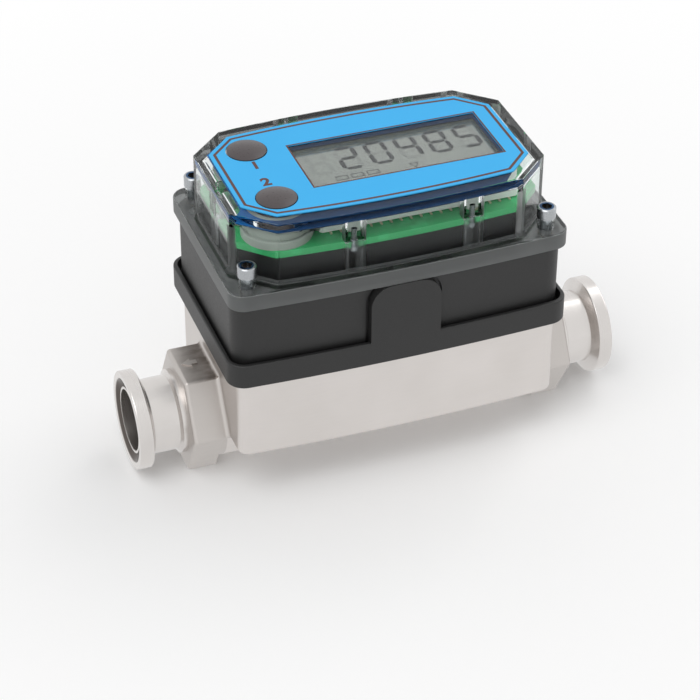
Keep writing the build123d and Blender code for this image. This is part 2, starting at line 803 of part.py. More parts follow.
def display_carrier():
    """White frame that holds the display glass above the board."""
    low, high = board_top, glass_top
    carrier = Pos(window_x, 0, (low + high) / 2) * Box(carrier_length, carrier_width, high - low)
    carrier = chamfer(carrier.edges().filter_by(Axis.Z), carrier_corner)
    carrier -= Pos(window_x, window_y, high) * Box(
        display_glass_length, display_glass_width, 2 * display_glass_thickness)
    relief = carrier_width - 2 * pin_reach
    carrier -= Pos(window_x, 0, low) * (Box(carrier_length + 1, carrier_width + 1, 2 * carrier_foot_gap)
                                        - Box(carrier_length - 2 * pin_reach, relief,
                                              3 * carrier_foot_gap))
    return carrier


def display_glass():
    """Liquid crystal panel in its carrier."""
    return Pos(window_x, window_y, glass_top - display_glass_thickness / 2) * Box(
        display_glass_length, display_glass_width, display_glass_thickness)


def display_bezel():
    """Dark frame on the carrier and the panel's edges, just under the cover."""
    outer = Pos(window_x, 0) * Rectangle(carrier_length - 2 * bezel_inset, carrier_width - 2 * bezel_inset)
    inner = Pos(window_x, window_y) * Rectangle(window_length, window_width)
    return prism(outer - inner, glass_top, glass_top + bezel_thickness)


def display_pins():
    """Gold pins along the front foot of the carrier."""
    pins = []
    for index in range(pin_count):
        x = window_x + (index - (pin_count - 1) / 2) * pin_pitch
        pins.append(Pos(x, -carrier_width / 2, board_top + carrier_foot_gap / 2)
                    * Box(pin_size, 2 * pin_reach, carrier_foot_gap))
    return Compound(children=pins)


def controller_chip():
    """Controller on the underside of the board."""
    return Pos(0, chip_y, board_bottom - chip_height / 2) * Box(chip_size, chip_size, chip_height)


def coil_bobbin():
    """Flanged bobbin in the well."""
    low, high = coil_well_floor(), coil_well_floor() + coil_height
    bobbin = rod(bobbin_core_radius, low, high)
    bobbin += rod(coil_radius, low, low + bobbin_flange) + rod(coil_radius, high - bobbin_flange, high)
    bobbin -= rod(magnet_radius, low - 1, high + 1)
    for y in (-lead_spread, lead_spread):
        bobbin -= rod(lead_radius, high - bobbin_flange, high + 1, 0, y)
    return bobbin


def coil_winding():
    """Copper winding between the bobbin's flanges."""
    low, high = coil_well_floor() + bobbin_flange, coil_well_floor() + coil_height - bobbin_flange
    return rod(coil_radius - coil_wire_inset, low, high) - rod(bobbin_core_radius, low - 1, high + 1)


def coil_magnet():
    """Rod magnet through the bobbin."""
    return rod(magnet_radius, coil_well_floor(), coil_well_floor() + coil_height)


def coil_leads():
    """Two stiff leads from the bobbin up to the board."""
    low = coil_well_floor() + coil_height - bobbin_flange
    return Compound(children=[rod(lead_radius, low, board_bottom, 0, y)
                              for y in (-lead_spread, lead_spread)])


def battery_holder():
    """Tray under the board for two coin cells."""
    top = board_bottom
    low = top - cell_height - holder_wall
    length = 2 * cell_radius + 2 * holder_wall
    tray = None
    for x in (-cell_spacing / 2, cell_spacing / 2):
        cup = Pos(x, 0, (top + low) / 2) * Box(length, length, top - low)
        tray = cup if tray is None else tray + cup
    for x in (-cell_spacing / 2, cell_spacing / 2):
        tray -= rod(cell_radius + holder_gap, low + holder_wall, top + 1, x, 0)
    return tray


def coin_cells():
    """Two coin cells in the tray."""
    low = board_bottom - cell_height
    cells = [fillet(rod(cell_radius, low, board_bottom, x, 0).edges().filter_by(GeomType.CIRCLE), cell_edge)
             for x in (-cell_spacing / 2, cell_spacing / 2)]
    return Compound(children=cells)


def build_all():
    """Every node of the meter."""
    os.makedirs("parts", exist_ok=True)
    save("meter_body", meter_body())
    for name, side in (("inlet", 1), ("outlet", -1)):
        save(name + "_ferrule", ferrule(side))
        save(name + "_rotor_support", rotor_support(side))
        save(name + "_retaining_ring", retaining_ring(side))
    save("rotor", rotor())
    save("rotor_bushings", rotor_bushings())
    save("rotor_shaft", rotor_shaft())
    save("body_gasket", body_gasket())
    save("adapter_housing", adapter_housing())
    save("base_screws", base_screws())
    save("thread_inserts", thread_inserts())
    save("cover_gasket", cover_gasket())
    save("clear_cover", clear_cover())
    save("cover_screws", cover_screws())
    save("circuit_board", circuit_board())
    save("board_screws", board_screws())
    save("faceplate", faceplate())
    for name, side in (("rate", 1), ("total", -1)):
        save(name + "_button", push_button(side))
        save(name + "_contact_pill", contact_pill(side))
        save(name + "_keypad", keypad(side))
    save("board_contacts", contacts())
    save("display_carrier", display_carrier())
    save("display_glass", display_glass())
    save("display_bezel", display_bezel())
    save("display_pins", display_pins())
    save("controller_chip", controller_chip())
    save("coil_bobbin", coil_bobbin())
    save("coil_winding", coil_winding())
    save("coil_magnet", coil_magnet())
    save("coil_leads", coil_leads())
    save("battery_holder", battery_holder())
    save("coin_cells", coin_cells())


build_all()
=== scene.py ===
import math
import bmesh
import bpy
from mathutils import Matrix, Vector


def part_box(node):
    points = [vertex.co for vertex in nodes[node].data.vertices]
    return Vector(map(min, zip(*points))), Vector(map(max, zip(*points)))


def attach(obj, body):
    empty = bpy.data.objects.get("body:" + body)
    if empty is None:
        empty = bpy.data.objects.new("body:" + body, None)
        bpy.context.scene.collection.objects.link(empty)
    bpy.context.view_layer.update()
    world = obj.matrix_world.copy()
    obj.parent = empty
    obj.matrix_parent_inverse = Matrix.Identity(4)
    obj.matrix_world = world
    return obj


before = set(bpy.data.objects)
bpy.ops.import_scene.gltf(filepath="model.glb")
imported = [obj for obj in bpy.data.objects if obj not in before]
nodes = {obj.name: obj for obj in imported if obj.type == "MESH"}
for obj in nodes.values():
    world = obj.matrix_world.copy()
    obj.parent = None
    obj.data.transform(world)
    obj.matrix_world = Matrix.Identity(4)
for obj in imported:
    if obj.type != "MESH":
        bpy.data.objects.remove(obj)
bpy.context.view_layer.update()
mm = 0.001


# Stage report on the console
def say(text):
    print("scene:", text)


# sRGB hex text to a linear RGBA tuple
def linearColour(hexText):
    values = []
    for start in (1, 3, 5):
        part = int(hexText[start:start + 2], 16) / 255
        values.append(part / 12.92 if part <= 0.04045 else ((part + 0.055) / 1.055) ** 2.4)
    return (*values, 1.0)


# Links or sets a node's inputs, given in their order or by name or index; text is a hex colour
def setInputs(tree, node, inputs):
    pairs = inputs.items() if isinstance(inputs, dict) else enumerate(inputs)
    for key, value in pairs:
        socketShade = node.inputs[key]
        if isinstance(value, bpy.types.NodeSocket):
            tree.links.new(value, socketShade)
        else:
            socketShade.default_value = linearColour(value) if isinstance(value, str) else value


# One node with its settings and inputs; gives the output that out names, or the node where out is None
def addNode(tree, kind, inputs=(), out=0, **settings):
    node = tree.nodes.new(kind)
    for key, value in settings.items():
        setattr(node, key, value)
    setInputs(tree, node, inputs)
    return node if out is None else node.outputs[out]


# Material with one Principled shader, whose plain values are set on its own sockets
def newMaterial(name, **shaderValues):
    material = bpy.data.materials.new(name)
    material.use_nodes = True
    tree = material.node_tree
    shader = tree.nodes["Principled BSDF"]
    setInputs(tree, shader, {key.replace("_", " "): value for key, value in shaderValues.items()})
    return material, tree, shader


# Object coordinates in millimetres, stretched by scale
def objectPoint(tree, scale=(1, 1, 1)):
    place = addNode(tree, "ShaderNodeTexCoord", out="Object")
    stretch = tuple(part / mm for part in scale)
    return addNode(tree, "ShaderNodeMapping", {"Vector": place, "Scale": stretch})


# X, Y and Z of a point on the piece, in millimetres
def objectPlace(tree):
    return addNode(tree, "ShaderNodeSeparateXYZ", [objectPoint(tree)], out=None).outputs


# Uneven pattern with a number of cycles per millimetre, for grain, brush marks and slow drift of colour
def mottle(tree, cycles, detail=2.0, scale=(1, 1, 1)):
    settings = {"Vector": objectPoint(tree, scale), "Scale": cycles, "Detail": detail, "Roughness": 0.55}
    return addNode(tree, "ShaderNodeTexNoise", settings)


# Map Range takes a value, the range it comes from and the new range; a mottle mostly keeps within this
mottleRange = (0.3, 0.7)


# Metals

castSteelLook = {
    "light": "#DFDAD7", "dark": "#D2CDC9", "cloud": 0.06, "grain": 2.4, "brush": (0.12, 2.2, 2.2),
    "rough": (0.38, 0.46), "bump": 0.05, "bumpDepth": 0.05,
    "hex": "#C6C1BD", "hexInner": 41.8, "hexOuter": 51.5, "hexEdge": 0.2,
    # The next colour and its ranges are painted shade and a painted dark reflection on the hexagons' upper
    # flats
    "paintedTopShade": "#6A615A", "topShadePatch": (0.2, 0.3, 0.3), "topShadeShare": (0.5, 1), "topShadeSpread": (0.3, 0.6),
    "topShadeLow": (26.0, 26.6), "topShadeHigh": (27.1, 27.4), "topShadeSide": (7.9, 8.1),
}


# Cast stainless steel, blasted and lightly brushed along the flow: a soft pale sheen with faint
# streaks. The hexagons are darker, and their upper flats towards the block carry painted shade and a painted
# dark reflection
def castSteel():
    look = castSteelLook
    material, tree, shader = newMaterial("blastedStainlessSteel", Metallic=1.0)
    grain = mottle(tree, look["grain"], 5.0)
    brush = mottle(tree, 1.0, 3.0, look["brush"])
    height = addNode(tree, "ShaderNodeMath", (grain, brush), operation="MULTIPLY")
    cloud = mottle(tree, look["cloud"])
    plain = addNode(tree, "ShaderNodeMix", {0: cloud, 6: look["light"], 7: look["dark"]}, 2, data_type="RGBA")
    place = objectPlace(tree)
    along = addNode(tree, "ShaderNodeMath", [place["X"]], operation="ABSOLUTE")
    aside = addNode(tree, "ShaderNodeMath", [place["Y"]], operation="ABSOLUTE")
    inner = look["hexInner"]
    beyond = addNode(tree, "ShaderNodeMapRange", (along, inner - look["hexEdge"], inner, 0, 1))
    # Painted shade and dark reflection on the hexagons' upper flats, strongest at the block, in blotches
    patch = mottle(tree, 1.0, 3.0, look["topShadePatch"])
    limits = [
        beyond,
        addNode(tree, "ShaderNodeMapRange", (place["Z"], *look["topShadeLow"], 0, 1)),
        addNode(tree, "ShaderNodeMapRange", (patch, *look["topShadeSpread"], *look["topShadeShare"])),
        addNode(tree, "ShaderNodeMapRange", (place["Z"], *look["topShadeHigh"], 1, 0)),
        addNode(tree, "ShaderNodeMapRange", (aside, *look["topShadeSide"], 1, 0)),
    ]
    paintedTopShade = addNode(tree, "ShaderNodeMapRange", (along, inner, look["hexOuter"], 1, 0))
    for limit in limits:
        paintedTopShade = addNode(tree, "ShaderNodeMath", (paintedTopShade, limit), operation="MULTIPLY")
    ends = addNode(tree, "ShaderNodeMix", {0: beyond, 6: plain, 7: look["hex"]}, 2, data_type="RGBA")
    setInputs(tree, shader, {
        "Base Color": addNode(tree, "ShaderNodeMix", {0: paintedTopShade, 6: ends, 7: look["paintedTopShade"]}, 2,
                              data_type="RGBA"),
        "Roughness": addNode(tree, "ShaderNodeMapRange", (brush, *mottleRange, *look["rough"])),
        "Normal": addNode(tree, "ShaderNodeBump", {
            "Strength": look["bump"], "Distance": look["bumpDepth"] * mm, "Height": height}),
    })
    return material


turnedSteelLook = {
    "light": "#DDD9D6", "dark": "#D0CCC9", "cloud": 0.1, "ring": 0.8, "ringScale": (1, 0.03, 0.03),
    "rough": (0.22, 0.28), "bump": 0.012, "bumpDepth": 0.05, "axisLevel": 13.5,
    # The groove colour is painted shade for the deep gasket groove
    "groove": "#5F5955", "grooveInner": 8.7, "grooveOuter": 10.75, "grooveDepth": 62.2, "grooveEdge": 0.1,
}


# Turned stainless steel: a brighter shine than the casting, with fine rings round the flow axis.
# The deep gasket groove has painted shade
def turnedSteel():
    look = turnedSteelLook
    material, tree, shader = newMaterial("turnedStainlessSteel", Metallic=1.0)
    rings = mottle(tree, look["ring"], 3.0, look["ringScale"])
    cloud = mottle(tree, look["cloud"])
    plain = addNode(tree, "ShaderNodeMix", {0: cloud, 6: look["light"], 7: look["dark"]}, 2, data_type="RGBA")
    place = objectPlace(tree)
    height = addNode(tree, "ShaderNodeMath", (place["Z"], look["axisLevel"]), operation="SUBTRACT")
    across = addNode(tree, "ShaderNodeCombineXYZ", (place["Y"], height))
    radius = addNode(tree, "ShaderNodeVectorMath", [across], out="Value", operation="LENGTH")
    along = addNode(tree, "ShaderNodeMath", [place["X"]], operation="ABSOLUTE")
    edge, depth = look["grooveEdge"], look["grooveDepth"]
    # Painted shade between the gasket groove's inner and outer walls
    groove = addNode(tree, "ShaderNodeMapRange", (along, depth, depth + edge, 0, 1))
    for wall, low, high in ((look["grooveInner"], 0, 1), (look["grooveOuter"], 1, 0)):
        side = addNode(tree, "ShaderNodeMapRange", (radius, wall - edge, wall + edge, low, high))
        groove = addNode(tree, "ShaderNodeMath", (groove, side), operation="MULTIPLY")
    setInputs(tree, shader, {
        "Base Color": addNode(tree, "ShaderNodeMix", {0: groove, 6: plain, 7: look["groove"]}, 2,
                              data_type="RGBA"),
        "Roughness": addNode(tree, "ShaderNodeMapRange", (rings, *mottleRange, *look["rough"])),
        "Normal": addNode(tree, "ShaderNodeBump", {
            "Strength": look["bump"], "Distance": look["bumpDepth"] * mm, "Height": rings}),
    })
    return material


# One near any of the given places, which are mirrored in y, and in x where mirrored is set; zero elsewhere
def nearPlaces(tree, places, reach, mirrored, softness=0.15):
    place = objectPlace(tree)
    along = place["X"]
    deep = addNode(tree, "ShaderNodeMath", [place["Y"]], operation="ABSOLUTE")
    if mirrored:
        along = addNode(tree, "ShaderNodeMath", [along], operation="ABSOLUTE")
    flat = addNode(tree, "ShaderNodeCombineXYZ", (along, deep))
    found = None
    for x, y in places:
        gap = addNode(tree, "ShaderNodeVectorMath", (flat, (x, y, 0)), out="Value", operation="DISTANCE")
        close = addNode(tree, "ShaderNodeMapRange", (gap, reach - softness, reach, 1, 0))
        if found is not None:
            close = addNode(tree, "ShaderNodeMath", (found, close), operation="MAXIMUM")
        found = close
    return found


screwLook = {
    "light": "#B7BABD", "dark": "#A2A5A8", "cloud": 3.0, "rough": (0.24, 0.34), "places": ((38.2, 21.2),),
    "ring": "#3D5878", "ringReach": 1.85, "ringLevel": (67.3, 67.4),
    # The socket colour is painted shade inside the deep hexagon
    "socketShade": "#6F6A65", "socketShadeReach": 1.38, "socketLevel": (67.58, 67.65),
}


# Zinc plated cap screws: silvery heads that turn bluish round the socket, whose deep hexagon has painted
# shade
def capScrewSteel():
    look = screwLook
    material, tree, shader = newMaterial("zincPlatedCapScrew", Metallic=1.0)
    cloud = mottle(tree, look["cloud"], 3.0)
    colour = addNode(tree, "ShaderNodeMix", {0: cloud, 6: look["light"], 7: look["dark"]}, 2,
                     data_type="RGBA")
    level = objectPlace(tree)["Z"]
    ringHigh = addNode(tree, "ShaderNodeMapRange", (level, *look["ringLevel"], 0, 1))
    # Painted shade inside the socket's deep hexagon
    socketShadeZone = addNode(tree, "ShaderNodeMapRange", (level, *look["socketLevel"], 1, 0))
    for name, zone in (("ring", ringHigh), ("socketShade", socketShadeZone)):
        near = nearPlaces(tree, look["places"], look[name + "Reach"], True)
        share = addNode(tree, "ShaderNodeMath", (near, zone), operation="MULTIPLY")
        colour = addNode(tree, "ShaderNodeMix", {0: share, 6: colour, 7: look[name]}, 2, data_type="RGBA")
    rough = addNode(tree, "ShaderNodeMapRange", (cloud, *mottleRange, *look["rough"]))
    setInputs(tree, shader, {"Base Color": colour, "Roughness": rough})
    return material


# Light and dark colour and roughness range of the small metal parts
metalFinishes = {
    "zincPlatedSteel": ("#B7BABD", "#A2A5A8", (0.24, 0.34)),  # cool silver
    "goldPlate": ("#D9D2BE", "#CCC3A9", (0.4, 0.5)),  # pale and satin, as thin gold over nickel
    "machinedNickelAlloy": ("#BDBBB8", "#A5A3A0", (0.25, 0.4)),  # warm grey with a tool's sheen
    "groundCarbideShaft": ("#8F8F92", "#7F7F82", (0.12, 0.2)),  # dark grey, nearly polished
    "springSteel": ("#8D8D8D", "#777777", (0.25, 0.4)),  # plain mid grey
    "knurledBrass": ("#C9A557", "#B08D45", (0.3, 0.45)),  # yellow
    "enamelledCopper": ("#B5672F", "#9A5224", (0.25, 0.35)),  # orange brown under lacquer
    "plateMagnetNickel": ("#A9A9A9", "#979797", (0.2, 0.3)),  # bright grey plate
    "tinnedCopper": ("#C9C3B8", "#B5AEA2", (0.3, 0.4)),  # dull silver wire
    "nickelPlatedCell": ("#C6C6C4", "#B3B3B1", (0.2, 0.3)),  # bright cell can
}


# Small metal part with slight drift of colour and shine
def plainMetal(name, light, dark, rough, cloud=3.0):
    material, tree, shader = newMaterial(name, Metallic=1.0)
    drift = mottle(tree, cloud, 3.0)
    setInputs(tree, shader, {
        "Base Color": addNode(tree, "ShaderNodeMix", {0: drift, 6: light, 7: dark}, 2, data_type="RGBA"),
        "Roughness": addNode(tree, "ShaderNodeMapRange", (drift, *mottleRange, *rough)),
    })
    return material


# Plastics, rubber and board

# Light and dark colour, roughness range, texture in cycles per millimetre, and its bump
plasticFinishes = {
    "blackGlassFilledNylon": ("#1E1E1E", "#222222", (0.42, 0.56), 3.5, 0.08),  # soft black, a fine bloom
    "blackMouldedPlastic": ("#141414", "#1C1C1C", (0.3, 0.4), 3.5, 0.08),  # deeper and glossier black
    "blackSealRubber": ("#1B1B1B", "#232323", (0.6, 0.75), 3.5, 0.08),  # matt black
    "greySealRubber": ("#5D665F", "#545D56", (0.5, 0.6), 3.5, 0.08),  # greenish grey, seen through the cover
    "greySiliconeRubber": ("#A0A79E", "#929990", (0.5, 0.6), 3.5, 0.08),  # milky light grey
    "greyKeyPlastic": ("#4B4445", "#443D3E", (0.26, 0.34), 2.0, 0.02),  # warm dark grey, a soft highlight
    "whiteMouldedPlastic": ("#F1F5EE", "#E9EEE6", (0.4, 0.5), 3.5, 0.08),  # white with a trace of green
    "filledBearingPlastic": ("#25221F", "#2E2A26", (0.4, 0.5), 3.5, 0.08),  # brownish black
}
# The same for printed polyester film: flat even colour with hardly any shine
filmFinishes = {
    "bluePrintedFilm": ("#48B8F4", "#44B3F0", (0.34, 0.42), 6.0, 0.03),  # clear sky blue
    "brownPrint": ("#6B4F4A", "#614641", (0.34, 0.42), 6.0, 0.03),  # brown line ink
    "navyUnderprint": ("#3F7FC0", "#3A78B8", (0.34, 0.42), 6.0, 0.03),  # darker blue under the plate
    "darkBezelFilm": ("#1D2937", "#182331", (0.34, 0.42), 6.0, 0.03),  # blue black
}
filmGloss = 0.1


# Moulded plastic, rubber or film with a fine texture and slow colour drift
def mouldedPlastic(name, light, dark, rough, grain, strength, cloud=0.08, bumpDepth=0.05, **shaderValues):
    material, tree, shader = newMaterial(name, **shaderValues)
    fine = mottle(tree, grain, 4.0)
    drift = mottle(tree, cloud)
    setInputs(tree, shader, {
        "Base Color": addNode(tree, "ShaderNodeMix", {0: drift, 6: light, 7: dark}, 2, data_type="RGBA"),
        "Roughness": addNode(tree, "ShaderNodeMapRange", (fine, *mottleRange, *rough)),
        "Normal": addNode(tree, "ShaderNodeBump", {
            "Strength": strength, "Distance": bumpDepth * mm, "Height": fine}),
    })
    return material


clearLook = {
    "light": "#FBFDFD", "dark": "#F3F8F8", "cloud": 0.05, "gloss": "#303030", "ior": 1.5,
    "flangeLevel": (62.1, 62.3), "flangeRough": 0.16,
    "skirt": "#777979", "skirtLevel": (61.6, 61.8), "skirtRough": 0.5, "skirtClear": 0.4,
    "mattLevel": (74.2, 74.6), "mattRough": 0.5,
    "bosses": ((-11.6, 20.4), (18.4, 20.4), (-36.0, 0.0), (36.0, 0.0)), "bossReach": 3.0,
    "corners": ((30.95, 22.5), (-39.9, 14.1), (39.9, 14.1)), "cornerReach": 1.7,
}


# Clear polycarbonate, moulded: polished top and walls that show the board. The flange's foot, the
# bosses and the inner corners keep the mould's fine texture and look grey, and lamps shine through
def clearPlastic():
    look = clearLook
    material, tree, shader = newMaterial("clearPolycarbonate", Transmission_Weight=1.0, IOR=look["ior"],
                                         Specular_Tint=look["gloss"])
    cloud = mottle(tree, look["cloud"])
    clear = addNode(tree, "ShaderNodeMix", {0: cloud, 6: look["light"], 7: look["dark"]}, 2, data_type="RGBA")
    level = objectPlace(tree)["Z"]
    aboveSkirt = addNode(tree, "ShaderNodeMapRange", (level, *look["skirtLevel"], 0, 1))
    underPlate = addNode(tree, "ShaderNodeMapRange", (level, *look["mattLevel"], look["mattRough"], 0))
    bosses = nearPlaces(tree, look["bosses"], look["bossReach"], False)
    corners = nearPlaces(tree, look["corners"], look["cornerReach"], False)
    matt = addNode(tree, "ShaderNodeMath", (bosses, corners), operation="MAXIMUM")
    rough = addNode(tree, "ShaderNodeMath", (matt, underPlate), operation="MULTIPLY")
    for zone in ("flange", "skirt"):
        part = addNode(tree, "ShaderNodeMapRange", (level, *look[zone + "Level"], look[zone + "Rough"], 0))
        rough = addNode(tree, "ShaderNodeMath", (rough, part), operation="MAXIMUM")
    setInputs(tree, shader, {
        "Base Color": addNode(tree, "ShaderNodeMix", {0: aboveSkirt, 6: look["skirt"], 7: clear}, 2,
                              data_type="RGBA"),
        "Transmission Weight": addNode(tree, "ShaderNodeMapRange", (aboveSkirt, 0, 1, look["skirtClear"], 1)),
        "Roughness": rough,
    })
    through = addNode(tree, "ShaderNodeBsdfTransparent")
    lamp = addNode(tree, "ShaderNodeLightPath", out="Is Shadow Ray")
    both = addNode(tree, "ShaderNodeMixShader", (lamp, shader.outputs[0], through))
    setInputs(tree, tree.nodes["Material Output"], {"Surface": both})
    return material


boardLook = {
    "light": "#3CB870", "dark": "#36AA65", "cell": 0.25, "share": (0.3, 0.34), "rough": (0.32, 0.4),
    "coat": 0.25,
}


# Green solder resist over copper areas: two close greens in soft blocks, under a thin clear coat
def circuitBoardGreen():
    look = boardLook
    material, tree, shader = newMaterial("solderResistGreen", Coat_Weight=look["coat"])
    cells = addNode(tree, "ShaderNodeTexVoronoi", {"Vector": objectPoint(tree), "Scale": look["cell"]},
                    out="Distance", distance="CHEBYCHEV")
    areas = addNode(tree, "ShaderNodeMapRange", (cells, *look["share"], 0, 1))
    setInputs(tree, shader, {
        "Base Color": addNode(tree, "ShaderNodeMix", {0: areas, 6: look["light"], 7: look["dark"]}, 2,
                              data_type="RGBA"),
        "Roughness": addNode(tree, "ShaderNodeMapRange", (areas, 0, 1, *look["rough"])),
    })
    return material


# Light and dark colour of each part of the display, and the weight of its shine
cellFinishes = {
    "liquidCrystalPanel": ("#565A50", "#50544B", 0.8),  # olive grey, lit up by what it mirrors
    "displaySegmentOn": ("#14151A", "#101116", 0.12),  # near black, shuts the mirror off
    "displaySegmentOff": ("#4A4E46", "#454941", 0.7),  # a faint ghost on the panel
}
cellLook = {"ior": 1.5, "coatIor": 1.9, "coatRough": 0.04, "cloud": 0.08, "rough": (0.05, 0.09)}


# Liquid crystal cell: dark glass under a mirror-like polariser, whose shine is what lights the panel
def displayCell(name, light, dark, shine):
    look = cellLook
    material, tree, shader = newMaterial(name, IOR=look["ior"], Specular_IOR_Level=shine, Coat_Weight=shine,
                                         Coat_IOR=look["coatIor"], Coat_Roughness=look["coatRough"])
    cloud = mottle(tree, look["cloud"])
    setInputs(tree, shader, {
        "Base Color": addNode(tree, "ShaderNodeMix", {0: cloud, 6: light, 7: dark}, 2, data_type="RGBA"),
        "Roughness": addNode(tree, "ShaderNodeMapRange", (cloud, *mottleRange, *look["rough"])),
    })
    return material


maskLook = {
    # The third colour is painted light, lighter blue towards the outlet end
    "dark": "#123862", "light": "#1B3E62", "thin": "#0F5F9E", "thinPlace": (-36, -29), "cloud": 0.15,
    "rough": 0.5, "gloss": 0.2,
}


# Navy masking ink on clear plastic: deep blue strips, with painted light that makes them lighter blue towards
# the outlet end
def maskingFilm():
    look = maskLook
    material, tree, shader = newMaterial("navyMaskingPrint", Roughness=look["rough"],
                                         Specular_IOR_Level=look["gloss"])
    cloud = mottle(tree, look["cloud"], 3.0)
    ink = addNode(tree, "ShaderNodeMix", {0: cloud, 6: look["dark"], 7: look["light"]}, 2, data_type="RGBA")
    # Painted light: lighter blue towards the outlet end
    thin = addNode(tree, "ShaderNodeMapRange", (objectPlace(tree)["X"], *look["thinPlace"], 1, 0))
    colour = addNode(tree, "ShaderNodeMix", {0: thin, 6: ink, 7: look["thin"]}, 2, data_type="RGBA")
    setInputs(tree, shader, {"Base Color": colour})
    return material


# CAD nodes under the material that each one wears
wearers = {
    "blastedStainlessSteel": ("meter_body",),
    "turnedStainlessSteel": ("inlet_ferrule", "outlet_ferrule",
                             "inlet_rotor_support", "outlet_rotor_support"),
    "machinedNickelAlloy": ("rotor",),
    "groundCarbideShaft": ("rotor_shaft",),
    "filledBearingPlastic": ("rotor_bushings",),
    "springSteel": ("inlet_retaining_ring", "outlet_retaining_ring"),
    "blackSealRubber": ("body_gasket", "rate_contact_pill", "total_contact_pill"),
    "greySealRubber": ("cover_gasket",),
    "blackGlassFilledNylon": ("adapter_housing",),
    "zincPlatedSteel": ("base_screws", "board_screws"),
    "zincPlatedCapScrew": ("cover_screws",),
    "knurledBrass": ("thread_inserts",),
    "clearPolycarbonate": ("clear_cover",),
    "solderResistGreen": ("circuit_board",),
    "bluePrintedFilm": ("faceplate",),
    "greyKeyPlastic": ("rate_button", "total_button"),
    "greySiliconeRubber": ("rate_keypad", "total_keypad"),
    "goldPlate": ("board_contacts", "display_pins"),
    "whiteMouldedPlastic": ("display_carrier",),
    "liquidCrystalPanel": ("display_glass",),
    "darkBezelFilm": ("display_bezel",),
    "blackMouldedPlastic": ("controller_chip", "coil_bobbin", "battery_holder"),
    "enamelledCopper": ("coil_winding",),
    "plateMagnetNickel": ("coil_magnet",),
    "tinnedCopper": ("coil_leads",),
    "nickelPlatedCell": ("coin_cells",),
}


# Every material of the meter under its own name
def makeMaterials():
    made = [castSteel(), turnedSteel(), capScrewSteel(), clearPlastic(), circuitBoardGreen(), maskingFilm()]
    made += [plainMetal(name, *values) for name, values in metalFinishes.items()]
    made += [mouldedPlastic(name, *values) for name, values in plasticFinishes.items()]
    made += [mouldedPlastic(name, *values, Specular_IOR_Level=filmGloss)
             for name, values in filmFinishes.items()]
    made += [displayCell(name, *values) for name, values in cellFinishes.items()]
    return {material.name: material for material in made}


materials = makeMaterials()
for finish, names in wearers.items():
    for nodeName in names:
        nodes[nodeName].data.materials.clear()
        nodes[nodeName].data.materials.append(materials[finish])
dressed = sum(len(names) for names in wearers.values())
say("materials on " + str(dressed) + " of " + str(len(nodes)) + " nodes")


# Shapes of the flat pieces

# Points along a long side that swells outward by bow, from left to right at +y
def arcPoints(x, y, bow, count=24):
    radius = (x * x + bow * bow) / (2 * bow)
    points = []
    for index in range(count + 1):
        px = -x + 2 * x * index / count
        points.append((px, y + bow - radius + math.sqrt(radius * radius - px * px)))
    return points


# Outline with cut corners and swollen long sides, moved inward by inset
def cutOctagon(length, width, cutX, cutY, bow, inset=0.0):
    slope = inset * math.tan(math.radians(22.5))
    x, y = length / 2 - inset, width / 2 - inset
    ax, ay = length / 2 - cutX - slope, width / 2 - cutY - slope
    rear = arcPoints(ax, y, bow)
    front = [(-px, -py) for px, py in rear]
    return rear + [(x, ay), (x, -ay)] + front + [(-x, -ay), (-x, ay)]


# Closed rectangle about a centre
def rectangle(x, y, length, width):
    a, b = length / 2, width / 2
    return [(x - a, y - b), (x + a, y - b), (x + a, y + b), (x - a, y + b)]


# Closed circle about a centre
def circle(x, y, radius, count=64):
    turn = 2 * math.pi / count
    return [(x + radius * math.cos(turn * i), y + radius * math.sin(turn * i)) for i in range(count)]


# Join the doubled vertices and turn all faces outward
def weld(mesh, gap=0.001):
    work = bmesh.new()
    work.from_mesh(mesh)
    bmesh.ops.remove_doubles(work, verts=work.verts, dist=gap * mm)
    bmesh.ops.recalc_face_normals(work, faces=work.faces)
    work.to_mesh(mesh)
    work.free()


# Flat curve made a closed mesh with its middle at a place in millimetres; the curve goes
def curveToMesh(curve, name, x, y, z):
    maker = bpy.data.objects.new(name + "Maker", curve)
    mesh = bpy.data.meshes.new_from_object(maker)
    mesh.name = name
    bpy.data.objects.remove(maker)
    bpy.data.curves.remove(curve)
    mesh.transform(Matrix.Translation((x * mm, y * mm, z * mm)))
    weld(mesh)
    return mesh


# Closed mesh between two levels in millimetres: an outline with its holes, or several outlines
def filledMesh(name, loops, low, high):
    curve = bpy.data.curves.new(name + "Outline", "CURVE")
    curve.dimensions = "2D"
    curve.fill_mode = "BOTH"
    curve.extrude = (high - low) / 2 * mm
    for loop in loops:
        spline = curve.splines.new("POLY")
        spline.points.add(len(loop) - 1)
        for point, (x, y) in zip(spline.points, loop):
            point.co = (x * mm, y * mm, 0, 1)
        spline.use_cyclic_u = True
    return curveToMesh(curve, name, 0, 0, (low + high) / 2)


# Mesh as a piece of the meter, on its body
def addPiece(name, mesh, finish):
    piece = bpy.data.objects.new(name, mesh)
    bpy.context.scene.collection.objects.link(piece)
    mesh.materials.clear()
    mesh.materials.append(materials[finish])
    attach(piece, "meter")
    return piece


# Faceplate print

face = {
    "length": 73.2, "width": 38.1, "cutX": 6.7, "cutY": 6.6, "bow": 1.35,
    "borderInset": 0.95, "borderWidth": 0.7,
    "windowX": 7.0, "windowY": 0.1, "windowLength": 48.6, "windowWidth": 19.9, "windowLine": 0.4,
    "buttonX": -27.35, "buttonY": 11.4, "buttonHole": 5.1,
    "numeralX": -27.5, "numeralY": 4.0, "numeralFont": 4.62, "numeralBold": 0.18,
    "inkHeight": 0.02, "glueGap": 0.01, "glueDepth": 0.05,
}


# Level of the printed face in millimetres
def plateTop():
    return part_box("faceplate")[1].z / mm


